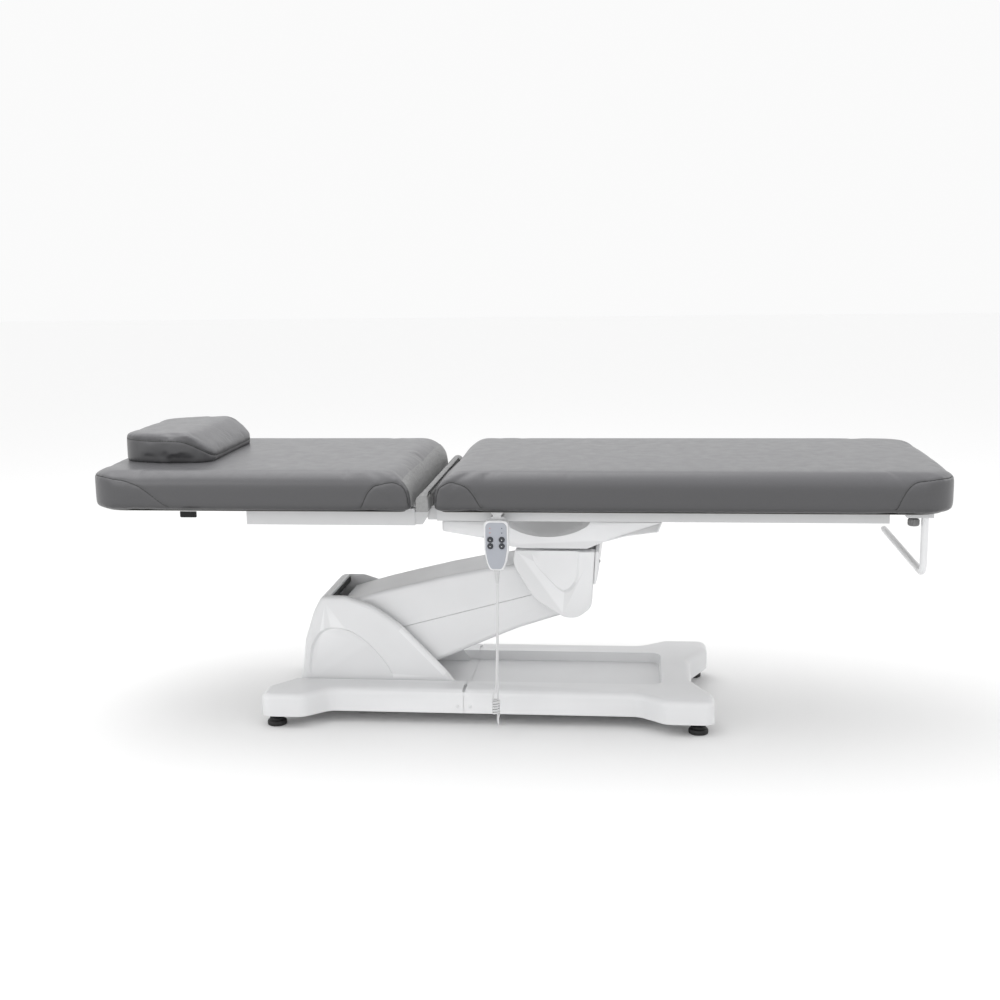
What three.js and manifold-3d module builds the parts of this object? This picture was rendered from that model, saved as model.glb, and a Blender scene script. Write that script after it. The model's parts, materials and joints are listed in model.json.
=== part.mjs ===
// Electric facial treatment bed: two upholstered sections on a steel frame, carried by one lifting
// arm between a pedestal on an H-shaped base and a knuckle under the seat.
// Millimetres. +X runs from the head end to the foot end, +Y is the far side, +Z is up. The origin is
// on the floor, under the middle of the upholstery. The bed is at its lowest height and lies flat.
import * as THREE from 'three';
import { mergeVertices } from 'three/addons/utils/BufferGeometryUtils.js';
import Module from 'manifold-3d';

const wasm = await Module();
wasm.setup();

// ---------------------------------------------------------------- driving dimensions
const GAP = 0.3;                                   // between pieces that touch
const SIDES = [['near', -1], ['far', 1]];

const BED = { half: 962, width: 310, bottom: 523, board: 12, top: 607 };
const HINGE = { x: -190, z: 548 };                 // backrest hinge, in the gap between the sections
const BACK_END = -207;                             // gap side of the backrest
const SEAT_END = -174;                             // gap side of the seat
const GAP_RADIUS = 58;                             // round top edges of the gap

const ARM_BASE = { x: -388, z: 246 };              // arm's pivot in the pedestal
const ARM_HEAD = { x: 105, z: 297 };               // arm's pivot in the knuckle
const LEVEL_DROP = 38;                             // levelling bar's pivots, below the arm's
const LIFT_FOOT = { x: -480, z: 120 };             // lift actuator's pivot on the base
const LIFT_PIN = { x: -150, z: 210 };              // its pin on the arm
const TILT_FOOT = { x: 110, z: 452 };              // backrest actuator's pivot on the carriage
const TILT_PIN = { x: -190, z: 482 };              // its pin on the backrest's lug

const BASE = { rear: -589, front: 455, ear: 250, rail: 200, under: 30, top: 85, split: -120 };
const TROUGH = { half: 124, floor: 62, front: 332 };
const FEET = { rear: -560, front: 419, y: 213, radius: 22.5 };
const BEAMS = { rear: [-530, -500], front: [365, 398] };   // cross beams of the chassis
const PEDESTAL = { half: 122, wall: 6 };
const ARM_COVER = { half: 92, wall: 5 };
const KNUCKLE = { inner: 96.3, outer: 130, wall: 5 };
const SHROUD = { half: 175, wall: 5 };

const RAIL = { inner: 230, outer: 250 };           // both sections' rails, distance from the middle
const SEAT_RAIL = { from: -165, to: 820, bottom: 495, top: 522.4 };
const BACK_RAIL = { from: -600, to: -215, bottom: 484, top: 522.4 };
const SEAT_EAR_Y = [236, 241];
const BACK_EAR_Y = [243, 248];

const HANDSET = { x: -28, half: 27, bottom: 394, top: 505, back: -276, front: -300 };
const BUTTONS = { radius: 6.2, middle: 456.5, spacing: 7.2 };
const CORD = { radius: 2.2, curl: [-35, -288], curlRadius: 9.6, curlTop: 103, curlBottom: 51, relief: -288 };
const ROLL_BAR = { x: 894, y: -250, radius: 8, top: 521.5, z: 385, end: 240, bend: 24 };
const KNOB = { x: 870, radius: 13, bottom: 491, top: 507 };

// ---------------------------------------------------------------- materials
const finish = (color, roughness, metalness = 0) =>
  new THREE.MeshStandardMaterial({ color, roughness, metalness });
const VINYL = finish(0x8f9192, 0.55);
const STRIP = finish(0x9a9a98, 0.8);
const SHELL = finish(0xf0f0ee, 0.3);
const FRAME_PAINT = finish(0xc9cacb, 0.45, 0.2);
const STEEL = finish(0x6d7073, 0.4, 0.8);
const POLISHED = finish(0xb9bcc0, 0.2, 1);
const MOTOR = finish(0x3c3e42, 0.6);
const RUBBER = finish(0x1c1c1e, 0.8);
const PLY = finish(0xb08d62, 0.7);
const HANDSET_FACE = finish(0x8f9aab, 0.5);
const BUTTON = finish(0x3a3f48, 0.5);
const CABLE = finish(0xd7d8d8, 0.45);
const LABEL = finish(0x17171a, 0.9);
const KNOB_GREY = finish(0x77797c, 0.6);

// ---------------------------------------------------------------- solids
/** Closed solid of a three.js geometry. */
function toSolid(geometry) {
  geometry.deleteAttribute('normal');
  geometry.deleteAttribute('uv');
  const merged = mergeVertices(geometry, 1e-3);
  const vertProperties = Float32Array.from(merged.attributes.position.array);
  const triVerts = Uint32Array.from(merged.index.array);
  return new wasm.Manifold(new wasm.Mesh({ numProp: 3, vertProperties, triVerts }));
}

function toGeometry(solid) {
  const { vertProperties, triVerts } = solid.getMesh();
  const geometry = new THREE.BufferGeometry();
  geometry.setAttribute('position', new THREE.BufferAttribute(vertProperties, 3));
  geometry.setIndex(new THREE.BufferAttribute(triVerts, 1));
  geometry.computeVertexNormals();
  return geometry;
}

const join = (...solids) => solids.reduce((whole, piece) => whole.add(piece));
const cut = (solid, ...tools) => tools.reduce((rest, tool) => rest.subtract(tool), solid);

function box(x0, x1, y0, y1, z0, z1) {
  const geometry = new THREE.BoxGeometry(x1 - x0, Math.abs(y1 - y0), z1 - z0);
  return toSolid(geometry.translate((x0 + x1) / 2, (y0 + y1) / 2, (z0 + z1) / 2));
}

/** Outline with its corners rounded: each corner is [u, v, radius]. Two round corners share a short edge. */
function rounded(corners, steps = 5) {
  return corners.flatMap(([u, v, radius = 0], i) => {
    const corner = new THREE.Vector2(u, v);
    if (!radius) return [corner];
    const before = points([corners.at(i - 1)])[0].sub(corner);
    const after = points([corners[(i + 1) % corners.length]])[0].sub(corner);
    const half = Math.acos(before.dot(after) / (before.length() * after.length())) / 2;
    const share = (other) => (other[2] ? 0.47 : 0.97);
    const tangent = Math.min(
      radius / Math.tan(half), share(corners.at(i - 1)) * before.length(),
      share(corners[(i + 1) % corners.length]) * after.length());
    const start = before.setLength(tangent);
    const end = after.setLength(tangent);
    const centre = start.clone().add(end).setLength(tangent / Math.cos(half));
    start.sub(centre);
    end.sub(centre);
    const sweep = Math.atan2(start.cross(end), start.dot(end));
    return Array.from({ length: steps + 1 }, (_, k) =>
      start.clone().rotateAround(new THREE.Vector2(), (sweep * k) / steps).add(centre).add(corner));
  });
}

/** Points of a circle. */
function circle({ x, z }, radius, count = 20) {
  return Array.from({ length: count }, (_, k) => {
    const turn = (2 * Math.PI * k) / count;
    return new THREE.Vector2(x + radius * Math.cos(turn), z + radius * Math.sin(turn));
  });
}

/** Smallest convex outline around points. */
function wrap(points) {
  const sorted = [...points].sort((p, q) => p.x - q.x || p.y - q.y);
  const halfHull = (list) => {
    const hull = [];
    for (const point of list) {
      while (hull.length > 1) {
        const [a, b] = hull.slice(-2);
        if (b.clone().sub(a).cross(point.clone().sub(a)) > 1e-6) break;
        hull.pop();
      }
      hull.push(point);
    }
    return hull.slice(0, -1);
  };
  return [...halfHull(sorted), ...halfHull(sorted.reverse())];
}

const points = (pairs) => pairs.map(([u, v]) => new THREE.Vector2(u, v));

/** Outline moved inwards by a wall's thickness. */
function inset(outline, wall) {
  const inwards = THREE.ShapeUtils.isClockWise(outline) ? -1 : 1;
  return outline.map((point, i) => {
    const into = point.clone().sub(outline.at(i - 1)).normalize();
    const out = outline[(i + 1) % outline.length].clone().sub(point).normalize();
    const normal = into.add(out).normalize();
    return point.clone().add(new THREE.Vector2(-normal.y, normal.x).multiplyScalar(wall * inwards));
  });
}

/** Outline in X and Z, extruded from y0 to y1. */
function prismY(outline, y0, y1) {
  const [low, high] = [Math.min(y0, y1), Math.max(y0, y1)];
  const depth = high - low;
  const geometry = new THREE.ExtrudeGeometry(new THREE.Shape(outline), { depth, bevelEnabled: false });
  return toSolid(geometry.rotateX(Math.PI / 2).translate(0, high, 0));
}

/** Outline in X and Y, extruded from z0 to z1, with its edges bevelled at both ends. */
function prismZ(outline, z0, z1, bevel = 0) {
  const geometry = new THREE.ExtrudeGeometry(new THREE.Shape(outline), {
    depth: z1 - z0 - 2 * bevel,
    bevelEnabled: bevel > 0,
    bevelThickness: bevel,
    bevelSize: bevel,
    bevelOffset: -bevel,
    bevelSegments: 2,
  });
  return toSolid(geometry.translate(0, 0, z0 + bevel));
}

const rodY = (centre, radius, y0, y1, count = 20) => prismY(circle(centre, radius, count), y0, y1);

function rodZ(x, y, radius, z0, z1, count = 20) {
  return prismZ(circle({ x, z: y }, radius, count), z0, z1);
}

/** Round bar along a curve. */
function tube(curve, radius, steps, count = 8) {
  const section = new THREE.Shape(circle({ x: 0, z: 0 }, radius, count));
  return toSolid(new THREE.ExtrudeGeometry(section, { extrudePath: curve, steps, bevelEnabled: false }));
}

/** Turned piece: profile of [radius, height] pairs that starts and ends on the axis. */
function turned(profile, segments = 20) {
  const geometry = new THREE.LatheGeometry(points(profile), segments);
  return toSolid(geometry.rotateX(Math.PI / 2));
}

const bed = new THREE.Group();

function piece(name, material, solid, parent = bed) {
  const mesh = new THREE.Mesh(toGeometry(solid), material);
  mesh.name = name;
  parent.add(mesh);
  return mesh;
}

// ---------------------------------------------------------------- base
function baseOutline() {
  const { rear, front, ear, rail } = BASE;
  const half = [
    [rear + 50, 120, 40], [rear, 185, 28], [rear, ear, 22], [rear + 100, ear, 34], [-436, rail, 34],
    [285, rail, 40], [345, ear, 34], [front, ear, 22], [front, 185, 28], [front - 47, 120, 40],
  ];
  return rounded([...half, ...half.map(([x, y, r]) => [x, -y, r]).reverse()], 4);
}

function buildBase() {
  const { under, top, split } = BASE;
  const outline = baseOutline();
  const trough = box(-560, TROUGH.front, -TROUGH.half, TROUGH.half, TROUGH.floor, top + 20);
  const hollow = prismZ(inset(outline, 6), under - 50, TROUGH.floor - 6);
  const below = box(-700, 700, -300, 300, under - 60, under);
  const cover = cut(prismZ(outline, under - 40, top, 15), below, trough, hollow);
  piece('rear_base_cover', SHELL, cut(cover, box(split - GAP, 700, -300, 300, 0, 120)));
  piece('front_base_cover', SHELL, cut(cover, box(-700, split + GAP, -300, 300, 0, 120)));

  for (const end of ['rear', 'front']) {
    const x = FEET[end];
    const [beamFrom, beamTo] = BEAMS[end];
    const tabs = SIDES.map(([, side]) => box(Math.min(beamFrom, x - 14), Math.max(beamTo, x + 14),
      side * 196, side * 236, 34, 54));
    const studHoles = SIDES.map(([, side]) => rodZ(x, side * FEET.y, 6.5, 20, 70));
    const beam = join(box(beamFrom, beamTo, -230, 230, 34, 54), ...tabs);
    piece(`chassis_cross_${end}`, STEEL, cut(beam, ...studHoles));
    for (const [name, side] of SIDES) {
      const foot = turned([
        [0, 0], [FEET.radius, 0], [FEET.radius, 7], [17, 13], [9, 18], [5, 19], [5, 52], [0, 52],
      ]);
      piece(`levelling_foot_${end}_${name}`, RUBBER, foot).position.set(x, side * FEET.y, 0);
    }
  }
  piece('chassis_spine', STEEL, box(BEAMS.rear[1] + GAP, BEAMS.front[0] - GAP, -110, 110, 36, 52));
  piece('power_inlet', RUBBER, box(-542.5, -539 - GAP, -26, 26, 36, 62));
}

function buildPedestal() {
  const { half, wall } = PEDESTAL;
  const foot = TROUGH.floor + GAP;
  const outside = rounded([
    [-526, foot], [-519, 97, 60], [-510, 177, 80], [-488, 246, 80], [-465, 284, 8], [-409, 284, 20],
    [-345, 264, 60], [-279, 217, 60], [-221, 157, 60], [-167, 101, 40], [-140, foot],
  ], 3);
  const room = points([
    [-526 + wall, foot - 20], [-519 + wall, 97], [-510 + wall, 177], [-488 + wall, 246], [-465 + wall, 284],
    [-465 + wall, 320], [-100, 320], [-100, foot - 20],
  ]);
  const arch = rounded([
    [-502, 80], [-488, 150, 60], [-440, 206, 50], [-377, 182, 60], [-302, 100, 20], [-296, 80],
  ], 3);
  const recesses = SIDES.map(([, side]) => prismY(arch, side * (half - 3), side * (half + 10)));
  const roomSolid = prismY(room, -(half - wall), half - wall);
  piece('pedestal_cover', SHELL, cut(prismY(outside, -half, half), roomSolid, ...recesses));
  const inner = half - wall - GAP;
  piece('slot_gasket', RUBBER, box(-465 + wall + GAP, -444, -inner, inner, 266, 279));
}

/** Welded bracket on the base: the arm's, the levelling bar's and the lift actuator's pivots. */
function buildPivotBracket() {
  const floor = TROUGH.floor + GAP;
  const parts = [box(-505, -330, -67, 67, floor, 70)];
  for (const [, side] of SIDES) {
    const plate = points([[-440, floor], [-335, floor], [-340, 90], [-435, 90]]);
    const cheek = wrap([...circle(ARM_BASE, 16), ...plate]);
    const ear = wrap([...circle(LIFT_FOOT, 13), ...points([[-500, floor], [-455, floor]])]);
    parts.push(prismY(cheek, side * 57, side * 67), rodY(ARM_BASE, 8, side * 44, side * 60));
    parts.push(prismY(ear, side * 30, side * 36));
  }
  const levelPivot = { x: ARM_BASE.x, z: ARM_BASE.z - LEVEL_DROP };
  parts.push(rodY(LIFT_FOOT, 6, -33, 33), rodY(levelPivot, 4.4, 60, 83));
  piece('pivot_bracket', STEEL, join(...parts));
}

// ---------------------------------------------------------------- lifting arm
function armOutline() {
  const nose = circle(ARM_HEAD, 60, 36).filter(({ x, y }) => x > ARM_HEAD.x - 6 && y < ARM_HEAD.z + 60.5);
  const fromTop = nose.sort((p, q) => Math.atan2(q.y - ARM_HEAD.z, q.x - ARM_HEAD.x)
    - Math.atan2(p.y - ARM_HEAD.z, p.x - ARM_HEAD.x));
  const upper = points([
    [-436, 240], [-425, 262], [-399, 271], [-263, 308], [-87, 347], [0, 361], [60, 361],
  ]);
  const lower = points([
    [3, 206], [-117, 155], [-195, 121], [-250, 104], [-300, 108], [-345, 135], [-400, 180], [-430, 215],
  ]);
  return [...upper, ...fromTop, ...lower];
}

function buildArm() {
  const { half, wall } = ARM_COVER;
  const outline = armOutline();
  const inside = half - wall;
  const seam = (x) => 201 + 0.267 * (x + 292);
  const above = points([[-600, seam(-600)], [300, seam(300)], [300, 700], [-600, 700]]);
  const below = points([[-600, seam(-600) - GAP], [300, seam(300) - GAP], [300, -300], [-600, -300]]);
  const rearMouth = prismY(
    points([[-500, 60], [-250, 60], [-250, 200], [-330, 246], [-500, 246]]), -inside, inside);
  const headMouth = prismY(
    points([[55, 290], [40, 420], [300, 420], [300, 302], [105, 302]]), -inside, inside);
  const room = prismY(inset(outline, wall), -inside, inside);
  const shell = cut(prismY(outline, -half, half), room, rearMouth, headMouth);
  piece('arm_upper_cover', SHELL, shell.intersect(prismY(above, -200, 200)));
  piece('arm_lower_cover', SHELL, shell.intersect(prismY(below, -200, 200)));

  const profile = wrap([...circle(ARM_BASE, 17), ...circle(LIFT_PIN, 18), ...circle(ARM_HEAD, 26)]);
  const bores = [rodY(ARM_BASE, 8.4, -80, 80), rodY(ARM_HEAD, 8.4, -80, 80)];
  const plates = SIDES.map(([, side]) => cut(prismY(profile, side * 45, side * 53), ...bores));
  const tie = rodY({ x: -20, z: 285 }, 15, -49, 49);
  piece('arm_frame', STEEL, join(...plates, tie, rodY(LIFT_PIN, 6, -49, 49)));

  const ends = [ARM_BASE, ARM_HEAD].map(({ x, z }) => ({ x, z: z - LEVEL_DROP }));
  const bar = prismY(wrap(ends.flatMap((end) => circle(end, 10))), 70, 82);
  piece('levelling_bar', STEEL, cut(bar, ...ends.map((end) => rodY(end, 5, 60, 90))));
}

/** Linear actuator from its foot pivot to its pin: the gearbox and outer tube, and the sliding rod. */
function buildActuator(name, foot, pin, size) {
  const { body, tubeRadius, rodRadius, eyeHole, eyeRadius } = size;
  const reach = Math.hypot(pin.x - foot.x, pin.z - foot.z);
  const group = new THREE.Group();
  group.position.set(foot.x, 0, foot.z);
  group.rotation.y = -Math.atan2(pin.z - foot.z, pin.x - foot.x);
  bed.add(group);

  const along = (radius, x0, x1) => toSolid(
    new THREE.CylinderGeometry(radius, radius, x1 - x0, 20)
      .rotateZ(-Math.PI / 2).translate((x0 + x1) / 2, 0, 0));
  const origin = { x: 0, z: 0 };
  const tubeEnd = reach * 0.62;
  const lug = join(rodY(origin, 12, -12, 12), box(0, 20, -12, 12, -12, 12));
  const housing = join(lug, box(16, 78, -body, body, -body, body), along(tubeRadius, 70, tubeEnd));
  const bores = [rodY(origin, 6.6, -30, 30), along(rodRadius + 0.6, 84, reach)];
  piece(`${name}_motor`, MOTOR, cut(housing, ...bores), group);

  const eye = { x: reach, z: 0 };
  const rod = join(along(rodRadius, 100, reach - eyeHole - 1), rodY(eye, eyeRadius, -12, 12, 28));
  piece(`${name}_rod`, POLISHED, cut(rod, rodY(eye, eyeHole, -30, 30, 28)), group);
}

// ---------------------------------------------------------------- knuckle and carriage
function buildKnuckle() {
  const { inner, outer, wall } = KNUCKLE;
  const corners = [
    [-3, 403, 4], [-9, 372, 60], [40, 288, 70], [111, 243, 30], [142, 243, 30], [174, 268, 26], [182, 400, 4],
  ];
  const outline = rounded(corners, 4);
  const hollow = inset(points(corners), wall + 2);
  for (const [name, side] of SIDES) {
    const room = prismY(hollow, side * (inner - 10), side * (outer - wall));
    piece(`knuckle_shell_${name}`, SHELL, cut(prismY(outline, side * inner, side * outer), room));
  }
  const cover = points([[174, 258], [182, 293], [186, 400], [192, 400], [188, 290], [180, 254]]);
  piece('knuckle_end_cover', SHELL, prismY(cover, -inner + GAP, inner - GAP));
}

function buildCarriage() {
  const levelPivot = { x: ARM_HEAD.x, z: ARM_HEAD.z - LEVEL_DROP };
  for (const [name, side] of SIDES) {
    const ends = side > 0 ? [...circle(ARM_HEAD, 22), ...circle(levelPivot, 9)] : circle(ARM_HEAD, 22);
    const web = prismY(wrap([...ends, ...points([[64, 490], [160, 490]])]), side * 57, side * 67);
    const flange = box(0, 210, Math.min(side * 57, side * 120), Math.max(side * 57, side * 120), 484, 496.7);
    const studs = [rodY(ARM_HEAD, 8, side * 44, side * 60)];
    if (side > 0) studs.push(rodY(levelPivot, 4.4, 60, 83));
    else studs.push(rodY(TILT_FOOT, 6, -60, 57 - GAP));
    piece(`carriage_bracket_${name}`, STEEL, join(web, flange, ...studs));
  }

  const { half, wall } = SHROUD;
  const outline = points([
    [-165, 480], [-160, 458], [-76, 439], [-6, 414], [15, 412],
    [170, 418], [253, 445], [326, 456], [335, 480],
  ]);
  const room = [...inset(outline, wall).slice(1, -1)];
  room.unshift(new THREE.Vector2(-165 + wall, 500));
  room.push(new THREE.Vector2(335 - wall, 500));
  const shroud = cut(
    prismY(outline, -half, half),
    prismY(room, -half + wall, half - wall),
    box(55, 172, -75, 75, 400, 440),
    box(-180, -130, -26, 26, 460, 490),
  );
  piece('saddle_shroud', SHELL, shroud);
  piece('control_box', MOTOR, box(225, 318, -60, 60, 474, 521.7));
}

// ---------------------------------------------------------------- frames and upholstery
function buildRails() {
  const seatEar = points([
    [-180, 548], [-180, 523], [-163, 522], [-163, 496], [-186, 496], [-192, 514], [-200, 530], [-200, 548],
  ]);
  const backEar = points([
    [-180.5, 548], [-180.5, 530], [-186, 505], [-198, 486],
    [-218, 486], [-218, 513], [-199.5, 520], [-199.5, 548],
  ]);
  for (const [name, side] of SIDES) {
    const span = [RAIL.inner * side, RAIL.outer * side].sort((a, b) => a - b);
    const [s0, s1] = SEAT_EAR_Y.map((y) => y * side);
    const [b0, b1] = BACK_EAR_Y.map((y) => y * side);
    const seat = join(
      box(SEAT_RAIL.from, SEAT_RAIL.to, ...span, SEAT_RAIL.bottom, SEAT_RAIL.top),
      prismY(seatEar, s0, s1), rodY(HINGE, 10, s0, s1), rodY(HINGE, 4.5, side * 238, side * 250));
    piece(`seat_rail_${name}`, FRAME_PAINT, seat);
    const back = join(
      box(BACK_RAIL.from, BACK_RAIL.to, ...span, BACK_RAIL.bottom, BACK_RAIL.top),
      prismY(backEar, b0, b1), rodY(HINGE, 9.5, b0, b1));
    piece(`back_rail_${name}`, FRAME_PAINT, cut(back, rodY(HINGE, 5.2, side * 230, side * 260)));
  }
  const reach = RAIL.inner - GAP;
  const crosses = [
    ['neck', -118, 9, 506], ['front', 20, 15, 497], ['middle', 185, 15, 497], ['foot', 790, 15, 497],
  ];
  for (const [name, x, half, bottom] of crosses) {
    piece(`seat_cross_${name}`, FRAME_PAINT, box(x - half, x + half, -reach, reach, bottom, SEAT_RAIL.top));
  }
  const lugs = SIDES.map(([, side]) => prismY(
    wrap([...circle(TILT_PIN, 11), ...points([[-250, 490], [-250, 510], [-230, 510]])]),
    side * 14, side * 20));
  const beam = box(-255, -225, -reach, reach, 486, BACK_RAIL.top);
  const lugCross = join(beam, ...lugs, rodY(TILT_PIN, 5, -17, 17));
  piece('back_cross_lug', FRAME_PAINT, lugCross);
  piece('back_cross_head', FRAME_PAINT, box(-590, -560, -reach, reach, 490, BACK_RAIL.top));
}

/** One section: a plywood board and the padding on it, with round corners and a round gap side. */
function buildSection(name, gapEnd, outerEnd) {
  const out = Math.sign(outerEnd - gapEnd);
  const { width, bottom, board, top } = BED;
  const plan = (shrink) => rounded([
    [gapEnd + out * shrink, -width + shrink, 18], [outerEnd - out * shrink, -width + shrink, 62],
    [outerEnd - out * shrink, width - shrink, 62], [gapEnd + out * shrink, width - shrink, 18],
  ], 5);
  piece(`${name}_board`, PLY, prismZ(plan(3), bottom, bottom + board));
  const profile = rounded([
    [gapEnd, bottom], [gapEnd, top, GAP_RADIUS], [outerEnd, top, 20], [outerEnd, bottom],
  ], 6);
  const padding = prismZ(plan(0), bottom + board + GAP, top, 12).intersect(prismY(profile, -400, 400));
  piece(`${name}_cushion`, VINYL, padding);
}

function buildUpholstery() {
  buildSection('seat', SEAT_END, BED.half);
  buildSection('back', BACK_END, -BED.half);
  const bar = prismY(wrap([...circle(HINGE, 14), ...points([[-204, 524], [-176, 524]])]), -302, 302);
  const slots = SIDES.map(([, side]) => box(-230, -150, Math.min(side * 233, side * 251.5),
    Math.max(side * 233, side * 251.5), 500, HINGE.z + 10.8));
  piece('gap_strip', STRIP, cut(bar, ...slots));
  piece('label_tag', LABEL, box(-735, -697, -306, -304.5, 509, BED.bottom - GAP));

  const plan = rounded([[-690, -186, 46], [-690, 186, 46], [-930, 186, 120], [-930, -186, 120]], 6);
  const profile = rounded([[-931, 600], [-928, 680, 40], [-760, 682, 60], [-690, 645, 30], [-688, 600]], 4);
  const pillow = prismZ(plan, BED.top + 1, 684).intersect(prismY(profile, -300, 300));
  piece('neck_pillow', VINYL, pillow);
}

// ---------------------------------------------------------------- handset and its cord
function buildHandset() {
  const { x, half, bottom, top, back, front } = HANDSET;
  const outline = (shrink) => rounded([
    [x - half + shrink, bottom + shrink, 14], [x + half - shrink, bottom + shrink, 14],
    [x + half - shrink, top - shrink, 12], [x - half + shrink, top - shrink, 12],
  ], 4);
  const centres = [[-1, -1], [1, -1], [-1, 1], [1, 1]].map(([i, k]) => ({
    x: x + 12.7 * i, z: BUTTONS.middle + BUTTONS.spacing * k,
  }));
  const wells = centres.map((centre) => rodY(centre, BUTTONS.radius + 0.6, front - 10, front + 4));
  piece('handset_shell', SHELL, cut(prismY(outline(0), front, back), ...wells));
  piece('handset_face', HANDSET_FACE, cut(prismY(outline(5), front - 3, front - GAP), ...wells));
  centres.forEach((centre, i) => {
    piece(`handset_button_${i + 1}`, BUTTON, rodY(centre, BUTTONS.radius, front - 5.5, front + 1.5, 16));
  });
  const relief = turned([[0, 362], [3, 362], [7, bottom - GAP], [0, bottom - GAP]], 16);
  piece('strain_relief', CABLE, relief).position.set(x, CORD.relief, 0);

  const hook = box(-46, -10, back + GAP, back + 4, 470, 521);
  const hanger = join(hook, box(-46, -10, back + 2, -RAIL.outer - GAP, 500, 510));
  piece('handset_hanger', SHELL, hanger);
  const glandTop = SEAT_RAIL.bottom - GAP;
  const gland = turned([[0, 470], [5, 470], [8, 480], [8, glandTop], [0, glandTop]], 16);
  piece('cord_gland', RUBBER, gland).position.set(-32.6, -246, 0);
}

function buildCord() {
  const { radius, curl, curlRadius, curlTop, curlBottom } = CORD;
  const strand = (name, route, steps) => {
    const curve = new THREE.CatmullRomCurve3(route.map((point) => new THREE.Vector3(...point)));
    piece(name, CABLE, tube(curve, radius, steps, 8));
  };
  strand('cord_drop', [
    [-28, -288, 361.7], [-28, -288, 350], [-28.4, -288, 310], [-29.4, -287.5, 260], [-31, -286, 210],
    [-33.2, -283.5, 160], [-34.7, -281.2, 125], [-35, -280.6, curlTop + GAP],
  ], 40);
  piece('cord_curl', CABLE, rodZ(...curl, curlRadius, curlBottom, curlTop, 12));
  strand('cord_return', [
    [-35, -280.6, curlBottom - GAP], [-35, -280.6, 46], [-34.8, -277.9, 39.4], [-34.4, -271.3, 36.7],
    [-34, -264.7, 39.4], [-33.7, -262, 46], [-33.4, -261, 60], [-33, -259, 100], [-32.7, -256, 170],
    [-32.6, -252, 260], [-32.6, -249, 350], [-32.6, -246.5, 420], [-32.6, -246, 450], [-32.6, -246, 469.7],
  ], 56);
}

// ---------------------------------------------------------------- paper-roll bar
function buildRollBar() {
  const { x, y, radius, top, z, end, bend } = ROLL_BAR;
  const socket = box(854, 910, -263, -237, 510, 522.4);
  piece('roll_socket', FRAME_PAINT, cut(socket, rodZ(x, y, radius + 0.6, 500, 530)));
  const path = new THREE.CurvePath();
  path.add(new THREE.LineCurve3(new THREE.Vector3(x, y, top), new THREE.Vector3(x, y, z + bend)));
  path.add(new THREE.QuadraticBezierCurve3(
    new THREE.Vector3(x, y, z + bend), new THREE.Vector3(x, y, z), new THREE.Vector3(x, y + bend, z)));
  path.add(new THREE.LineCurve3(new THREE.Vector3(x, y + bend, z), new THREE.Vector3(x, end, z)));
  piece('roll_bar', FRAME_PAINT, tube(path, radius, 60, 12));
  const knob = turned([
    [0, KNOB.bottom], [KNOB.radius, KNOB.bottom], [KNOB.radius, KNOB.top], [4, KNOB.top],
    [4, 510 - GAP], [0, 510 - GAP],
  ], 16);
  piece('clamp_knob', KNOB_GREY, knob).position.set(KNOB.x, ROLL_BAR.y, 0);
}

buildBase();
buildPedestal();
buildPivotBracket();
buildArm();
buildActuator('lift', LIFT_FOOT, LIFT_PIN, {
  body: 28, tubeRadius: 17, rodRadius: 10, eyeHole: 13, eyeRadius: 20,
});
buildActuator('tilt', TILT_FOOT, TILT_PIN, {
  body: 20, tubeRadius: 15, rodRadius: 8, eyeHole: 14, eyeRadius: 19,
});
buildKnuckle();
buildCarriage();
buildRails();
buildUpholstery();
buildHandset();
buildCord();
buildRollBar();

export default bed;
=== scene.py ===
"""Facial treatment bed: the finished pieces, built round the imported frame.

Outlines, radii and levels are written in millimetres and become metres in the meshes, +Z up.
"""
import json
import math
import bpy
from mathutils import Matrix, Vector
from mathutils.bvhtree import BVHTree
from mathutils.kdtree import KDTree


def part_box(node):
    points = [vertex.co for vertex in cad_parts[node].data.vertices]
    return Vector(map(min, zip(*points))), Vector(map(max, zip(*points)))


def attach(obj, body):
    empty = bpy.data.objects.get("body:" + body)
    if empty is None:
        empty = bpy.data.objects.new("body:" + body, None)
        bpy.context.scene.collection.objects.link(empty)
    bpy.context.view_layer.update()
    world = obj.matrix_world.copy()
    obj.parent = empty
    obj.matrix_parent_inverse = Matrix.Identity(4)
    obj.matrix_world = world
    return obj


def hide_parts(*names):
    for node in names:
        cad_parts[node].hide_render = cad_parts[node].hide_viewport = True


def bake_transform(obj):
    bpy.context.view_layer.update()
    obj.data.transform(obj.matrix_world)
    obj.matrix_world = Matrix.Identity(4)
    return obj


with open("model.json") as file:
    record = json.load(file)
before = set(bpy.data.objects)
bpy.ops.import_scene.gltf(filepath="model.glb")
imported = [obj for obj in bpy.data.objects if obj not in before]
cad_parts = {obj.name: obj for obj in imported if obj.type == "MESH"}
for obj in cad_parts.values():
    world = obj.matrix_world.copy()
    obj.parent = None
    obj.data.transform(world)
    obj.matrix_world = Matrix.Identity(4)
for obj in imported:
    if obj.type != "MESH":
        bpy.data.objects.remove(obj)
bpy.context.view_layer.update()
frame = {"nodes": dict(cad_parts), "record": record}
MM = 0.001

# ------------------------------------------------------------------ tools
def select_only(obj):
    bpy.ops.object.select_all(action="DESELECT")
    obj.select_set(True)
    bpy.context.view_layer.objects.active = obj


def new_piece(name):
    """Name the primitive that was just added."""
    obj = bpy.context.object
    obj.name = obj.data.name = name
    return obj


def edit(obj, *steps):
    """Run edit-mode steps on everything that the piece is made of."""
    select_only(obj)
    bpy.ops.object.mode_set(mode="EDIT")
    bpy.ops.mesh.select_mode(type="VERT")
    bpy.ops.mesh.select_all(action="SELECT")
    for step in steps:
        step()
    bpy.ops.object.mode_set(mode="OBJECT")
    return obj


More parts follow.
